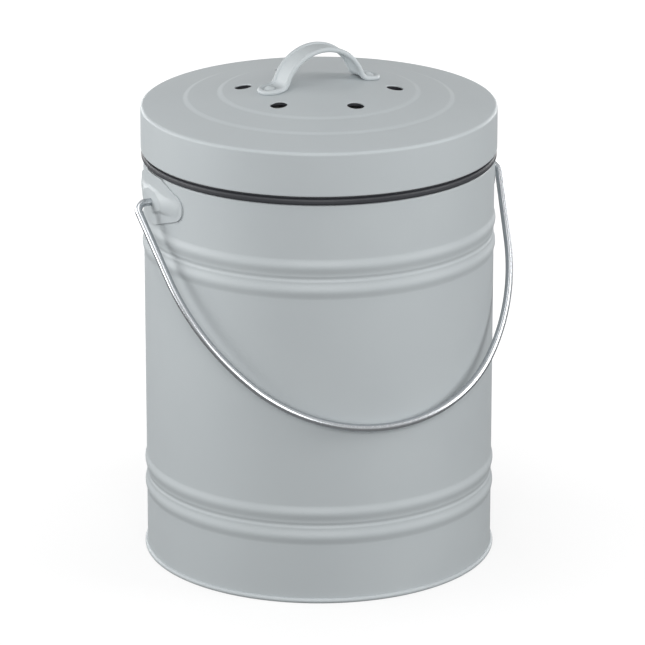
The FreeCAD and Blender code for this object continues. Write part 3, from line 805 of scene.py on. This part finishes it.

# %% [markdown]
# ## Riding on the bodies
# Each new piece takes the place of its imported node and moves with that node's body; the finish
# listed beside it picks its material further down. Smooth shading stops at edges of more than 35
# degrees, and weighted normals keep the flat faces flat beside small bends.

# %% Ride and shade
SMOOTH = math.radians(35)
STEEL, PLATED, PLASTIC, RUBBER, FELT = (
    "powder_coated_steel", "plated_wire", "black_plastic", "gasket_rubber", "charcoal_felt")
places = [
    (wall, "pail_wall", "pail", STEEL), (base, "pail_base", "pail", STEEL),
    (ear, "right_ear", "pail", STEEL), (left_ear, "left_ear", "pail", STEEL),
    (bail, "bail_handle", "bail", PLATED), (bucket, "inner_bucket", "bucket", PLASTIC),
    (lid, "lid_shell", "lid", STEEL), (strap, "lid_handle", "lid", STEEL),
    (rivets, "handle_rivets", "lid", STEEL), (gasket, "lid_gasket", "lid", RUBBER),
    (holder, "filter_holder", "lid", PLASTIC), (felt, "filter_disc", "lid", FELT),
    (cover, "filter_cover", "cover", PLASTIC),
]
for piece, node, body, finish in places:
    choose(piece)
    bpy.ops.object.shade_smooth_by_angle(angle=SMOOTH)
    finish_with(piece, "WEIGHTED_NORMAL", keep_sharp=True)
    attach(piece, body)
    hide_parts(node)
    print(piece.name, "rides on", body)

# %% [markdown]
# ## Colours and nodes
# Colours are written as they look on a screen, as sRGB hex values, and one function turns them
# into the linear values that shaders use. One more function adds a node with its settings and
# links.

# %% Colour and node helpers
# The mix node has several sockets of each name, so its colour sockets go by their numbers.
FACTOR, COLOUR_A, COLOUR_B, MIXED = 0, 6, 7, 2
WHITE = (1, 1, 1, 1)


def srgb(colour):
    """Linear red, green, blue and alpha from a hex value."""
    channels = [int(colour[index:index + 2], 16) / 255 for index in (1, 3, 5)]
    linear = [c / 12.92 if c <= 0.04045 else ((c + 0.055) / 1.055) ** 2.4 for c in channels]
    return (*linear, 1.0)


def set_inputs(material, node, inputs):
    """Sets a node's inputs to values, or links them to other nodes' outputs."""
    for name, value in inputs.items():
        if isinstance(value, bpy.types.NodeSocket):
            material.node_tree.links.new(value, node.inputs[name])
        else:
            node.inputs[name].default_value = value


def add_node(material, kind, settings=None, inputs=None):
    """Adds a node, sets its properties, and sets or links its inputs."""
    node = material.node_tree.nodes.new(kind)
    for name, value in (settings or {}).items():
        setattr(node, name, value)
    set_inputs(material, node, inputs or {})
    return node


def start_material(name):
    """A new material with its principled shader and the place on the piece."""
    material = bpy.data.materials.new(name)
    material.use_nodes = True
    shader = material.node_tree.nodes["Principled BSDF"]
    place = add_node(material, "ShaderNodeTexCoord").outputs["Object"]
    print("material:", name)
    return material, shader, place


# %% [markdown]
# ## Powder coat on sheet steel
# Powder is sprayed on dry and melts in an oven, and the skin that it forms is never quite level:
# it has a faint orange peel about 2 mm from hill to hill, and a finer grain. It is semi-matt, so
# lamps show as broad soft light. The colour drifts a little from place to place with the coat's
# thickness.

# %% Make the powder coat
PATCH = 45
HILL, HILL_RISE = 2.0, 0.012
# The real grain is about 0.2 mm; it is drawn at 0.6 mm, so that it still shows.
GRAIN, GRAIN_RISE = 0.6, 0.006

coat, shader, place = start_material("powder_coat_on_sheet_steel")
drift = add_node(coat, "ShaderNodeTexNoise", inputs={
    "Vector": place, "Scale": 1 / (PATCH * MM), "Detail": 3.0})
peel = add_node(coat, "ShaderNodeTexNoise", inputs={
    "Vector": place, "Scale": 1 / (HILL * MM), "Detail": 1.0})
grain = add_node(coat, "ShaderNodeTexNoise", inputs={
    "Vector": place, "Scale": 1 / (GRAIN * MM), "Detail": 2.0})
colour = add_node(coat, "ShaderNodeMix", {"data_type": "RGBA"}, {
    FACTOR: drift.outputs["Fac"], COLOUR_A: srgb("#b3b9bc"), COLOUR_B: srgb("#bac0c2")})
gloss = add_node(coat, "ShaderNodeMapRange", inputs={
    "Value": grain.outputs["Fac"], "To Min": 0.44, "To Max": 0.54})
hills = add_node(coat, "ShaderNodeBump", inputs={
    "Height": peel.outputs["Fac"], "Distance": HILL_RISE * MM, "Strength": 1.0})
bumps = add_node(coat, "ShaderNodeBump", inputs={
    "Height": grain.outputs["Fac"], "Distance": GRAIN_RISE * MM, "Strength": 1.0,
    "Normal": hills.outputs["Normal"]})
set_inputs(coat, shader, {
    "Base Color": colour.outputs[MIXED], "Roughness": gloss.outputs["Result"],
    "Normal": bumps.outputs["Normal"], "IOR": 1.4})

# %% [markdown]
# ## Bright plated wire
# Drawn wire is dipped in a bath that leaves a thin bright layer of nickel. It mirrors its
# surroundings, a little blurred by the marks of drawing, and is bluish beside the pail's paint.

# %% Make the plated wire
MARK, MARK_RISE = 1.2, 0.001

plated, shader, place = start_material("nickel_plated_drawn_wire")
marks = add_node(plated, "ShaderNodeTexNoise", inputs={
    "Vector": place, "Scale": 1 / (MARK * MM), "Detail": 3.0})
blur = add_node(plated, "ShaderNodeMapRange", inputs={
    "Value": marks.outputs["Fac"], "To Min": 0.20, "To Max": 0.28})
tint = add_node(plated, "ShaderNodeMix", {"data_type": "RGBA"}, {
    FACTOR: marks.outputs["Fac"], COLOUR_A: srgb("#b4b8bc"), COLOUR_B: srgb("#c4c7ca")})
scratches = add_node(plated, "ShaderNodeBump", inputs={
    "Height": marks.outputs["Fac"], "Distance": MARK_RISE * MM})
set_inputs(plated, shader, {
    "Base Color": tint.outputs[MIXED], "Roughness": blur.outputs["Result"],
    "Normal": scratches.outputs["Normal"], "Metallic": 1.0})

# %% [markdown]
# ## Black plastic
# Bucket, holder and grille are moulded in black polypropylene. The mould is spark-eroded, which
# leaves a fine even grain on the plastic and breaks its shine.

# %% Make the black plastic
# The mould's grain is about 0.1 mm; it is drawn at 0.5 mm, so that it still shows.
SPARK, SPARK_RISE = 0.5, 0.012

plastic, shader, place = start_material("moulded_black_polypropylene")
spark = add_node(plastic, "ShaderNodeTexNoise", inputs={
    "Vector": place, "Scale": 1 / (SPARK * MM), "Detail": 2.0})
shade = add_node(plastic, "ShaderNodeMix", {"data_type": "RGBA"}, {
    FACTOR: spark.outputs["Fac"], COLOUR_A: srgb("#26272b"), COLOUR_B: srgb("#303237")})
satin = add_node(plastic, "ShaderNodeMapRange", inputs={
    "Value": spark.outputs["Fac"], "To Min": 0.46, "To Max": 0.60})
pits = add_node(plastic, "ShaderNodeBump", inputs={
    "Height": spark.outputs["Fac"], "Distance": SPARK_RISE * MM})
set_inputs(plastic, shader, {
    "Base Color": shade.outputs[MIXED], "Roughness": satin.outputs["Result"],
    "Normal": pits.outputs["Normal"], "IOR": 1.49})

# %% [markdown]
# ## Rubber and felt
# The gasket is moulded rubber, matt and slightly dusty. The felt is needled fibre loaded with
# charcoal, black and without any shine, with fibres about a fifth of a millimetre thick lying
# every way.

# %% Make the rubber
DUST = 3.0

rubber, shader, place = start_material("moulded_gasket_rubber")
dust = add_node(rubber, "ShaderNodeTexNoise", inputs={
    "Vector": place, "Scale": 1 / (DUST * MM), "Detail": 4.0})
dusty = add_node(rubber, "ShaderNodeMix", {"data_type": "RGBA"}, {
    FACTOR: dust.outputs["Fac"], COLOUR_A: srgb("#1b1b1c"), COLOUR_B: srgb("#29292a")})
matt = add_node(rubber, "ShaderNodeMapRange", inputs={
    "Value": dust.outputs["Fac"], "To Min": 0.65, "To Max": 0.85})
set_inputs(rubber, shader, {
    "Base Color": dusty.outputs[MIXED], "Roughness": matt.outputs["Result"]})

# %% Make the felt
TUFT, TUFT_RISE = 4.0, 0.4
# Fibres of 0.2 mm are drawn in strands of 0.8 mm, so that they still show.
STRAND, STRAND_RISE = 0.8, 0.3

wool, shader, place = start_material("needled_charcoal_felt")
warp = add_node(wool, "ShaderNodeTexNoise", inputs={
    "Vector": place, "Scale": 1 / (TUFT * MM), "Distortion": 1.5})
fibres = add_node(wool, "ShaderNodeTexNoise", inputs={
    "Vector": place, "Scale": 1 / (STRAND * MM), "Detail": 4.0, "Distortion": 3.0})
soot = add_node(wool, "ShaderNodeMix", {"data_type": "RGBA"}, {
    FACTOR: fibres.outputs["Fac"], COLOUR_A: srgb("#0b0b0c"), COLOUR_B: srgb("#1c1c1d")})
lie = add_node(wool, "ShaderNodeBump", inputs={
    "Height": fibres.outputs["Fac"], "Distance": STRAND_RISE * MM})
loft = add_node(wool, "ShaderNodeBump", inputs={
    "Height": warp.outputs["Fac"], "Distance": TUFT_RISE * MM, "Normal": lie.outputs["Normal"]})
set_inputs(wool, shader, {
    "Base Color": soot.outputs[MIXED], "Normal": loft.outputs["Normal"],
    "Roughness": 0.95, "Sheen Weight": 0.25})

# %% Give every piece its material
finishes = {STEEL: coat, PLATED: plated, PLASTIC: plastic, RUBBER: rubber, FELT: wool}
for piece, node, body, finish in places:
    piece.data.materials.clear()
    piece.data.materials.append(finishes[finish])
    print(node, "has", finishes[finish].name)

# %% [markdown]
# ## The studio
# The bin stands on a plain floor in soft light: wide lamps in front, above and behind, and a
# narrower one on each side, whose glow on the coat shows how round the pail is. The floor itself
# is a dull grey, so that little light comes back from below and the undersides of the beads stay
# dark. It adds a white of its own for the camera, and a little for mirrors, so that it looks white
# without more light on the bin, and keeps the bin's shadow.

# %% Lay the floor
FLOOR_RADIUS = 6.0
MIRROR_LIFT = 0.12
WHITE_NEAR, WHITE_FAR = 0.81, 0.96
NEAR_BIN, FAR_FROM_BIN = 0.08, 0.35  # metres

bpy.ops.object.select_all(action="DESELECT")
bpy.ops.mesh.primitive_circle_add(vertices=96, radius=FLOOR_RADIUS, fill_type="NGON")
floor = bpy.context.object
floor.name = "floor"
paper, shader, place = start_material("white_studio_paper")
path = add_node(paper, "ShaderNodeLightPath")
mirrored = add_node(paper, "ShaderNodeMath", {"operation": "MULTIPLY"}, {
    0: path.outputs["Is Glossy Ray"], 1: MIRROR_LIFT})
away = add_node(paper, "ShaderNodeVectorMath", {"operation": "LENGTH"}, {0: place})
white = add_node(paper, "ShaderNodeMapRange", inputs={
    "Value": away.outputs["Value"], "From Min": NEAR_BIN, "From Max": FAR_FROM_BIN,
    "To Min": WHITE_NEAR, "To Max": WHITE_FAR})
lift = add_node(paper, "ShaderNodeMath", {"operation": "MULTIPLY_ADD"}, {
    0: path.outputs["Is Camera Ray"], 1: white.outputs["Result"], 2: mirrored.outputs[0]})
set_inputs(paper, shader, {
    "Base Color": srgb("#6c6c6c"), "Roughness": 0.9, "Specular IOR Level": 0.1,
    "Emission Color": WHITE, "Emission Strength": lift.outputs[0]})
floor.data.materials.append(paper)

# %% Light the room
ROOM_GLOW, ROOM_MIRRORED = 0.16, 0.7

room = bpy.data.worlds.new("white_room")
room.use_nodes = True
bpy.context.scene.world = room
sky = room.node_tree.nodes["Background"]
path = add_node(room, "ShaderNodeLightPath")
mirrored = add_node(room, "ShaderNodeMapRange", inputs={
    "Value": path.outputs["Is Glossy Ray"], "To Min": ROOM_GLOW, "To Max": ROOM_MIRRORED})
level = add_node(room, "ShaderNodeMath", {"operation": "MAXIMUM"}, {
    0: path.outputs["Is Camera Ray"], 1: mirrored.outputs["Result"]})
set_inputs(room, sky, {"Color": WHITE, "Strength": level.outputs[0]})
print("world:", room.name)

# %% Place the lamps
LAMPS = [  # name, place and aimed height in metres, width, height, watts, spread in degrees
    ("front_softbox", (-0.634, -1.568, 0.746), 0.13, 1.0, 1.0, 17.0, 180),
    ("top_softbox", (-0.466, -0.364, 1.469), 0.20, 0.9, 0.9, 5.0, 180),
    ("left_softbox", (-0.780, 0.315, 0.360), 0.25, 0.80, 0.45, 2.2, 110),
    ("right_strip_box", (0.889, -0.670, 0.580), 0.13, 0.5, 1.0, 7.8, 180),
    ("back_left_softbox", (-0.300, 1.530, 0.300), 0.13, 0.9, 0.5, 7.0, 180),
    ("back_right_softbox", (1.300, 0.860, 0.300), 0.13, 0.9, 0.5, 7.0, 180),
]
for name, place, aim, width, height, watts, spread in LAMPS:
    bpy.ops.object.light_add(type="AREA", location=place)
    lamp = bpy.context.object
    lamp.name = lamp.data.name = name
    lamp.data.shape = "RECTANGLE"
    lamp.data.size = width
    lamp.data.size_y = height
    lamp.data.energy = watts
    lamp.data.spread = math.radians(spread)
    way = lamp.location - type(lamp.location)((0, 0, aim))
    lamp.rotation_euler = way.to_track_quat("Z", "Y").to_euler()
    print(name, "gives", watts, "W")

# %% [markdown]
# ## The camera
# The camera stands about 2.3 m from the bin with a long lens, a little to the left and above, so
# that the lid's top and one ear show. Its small sideways shift puts the bin where the photograph
# has it.

# %% Place the camera
CAMERA_PLACE = (-0.82413, -2.03980, 0.85265)
CAMERA_WAY = (0.35527, 0.87934, -0.31712)
LENS, SENSOR = 256.72, 36.0
SHIFT = 0.0055
FARTHEST = 50

bpy.ops.object.camera_add(location=CAMERA_PLACE)
camera = bpy.context.object
camera.name = "camera"
way = type(camera.location)(CAMERA_WAY)
camera.rotation_euler = way.to_track_quat("-Z", "Y").to_euler()
camera.data.lens = LENS
camera.data.sensor_width = SENSOR
camera.data.shift_x = SHIFT
camera.data.clip_end = FARTHEST
bpy.context.scene.camera = camera
bpy.context.scene.view_settings.view_transform = "Standard"
print("camera with a lens of", LENS, "mm")
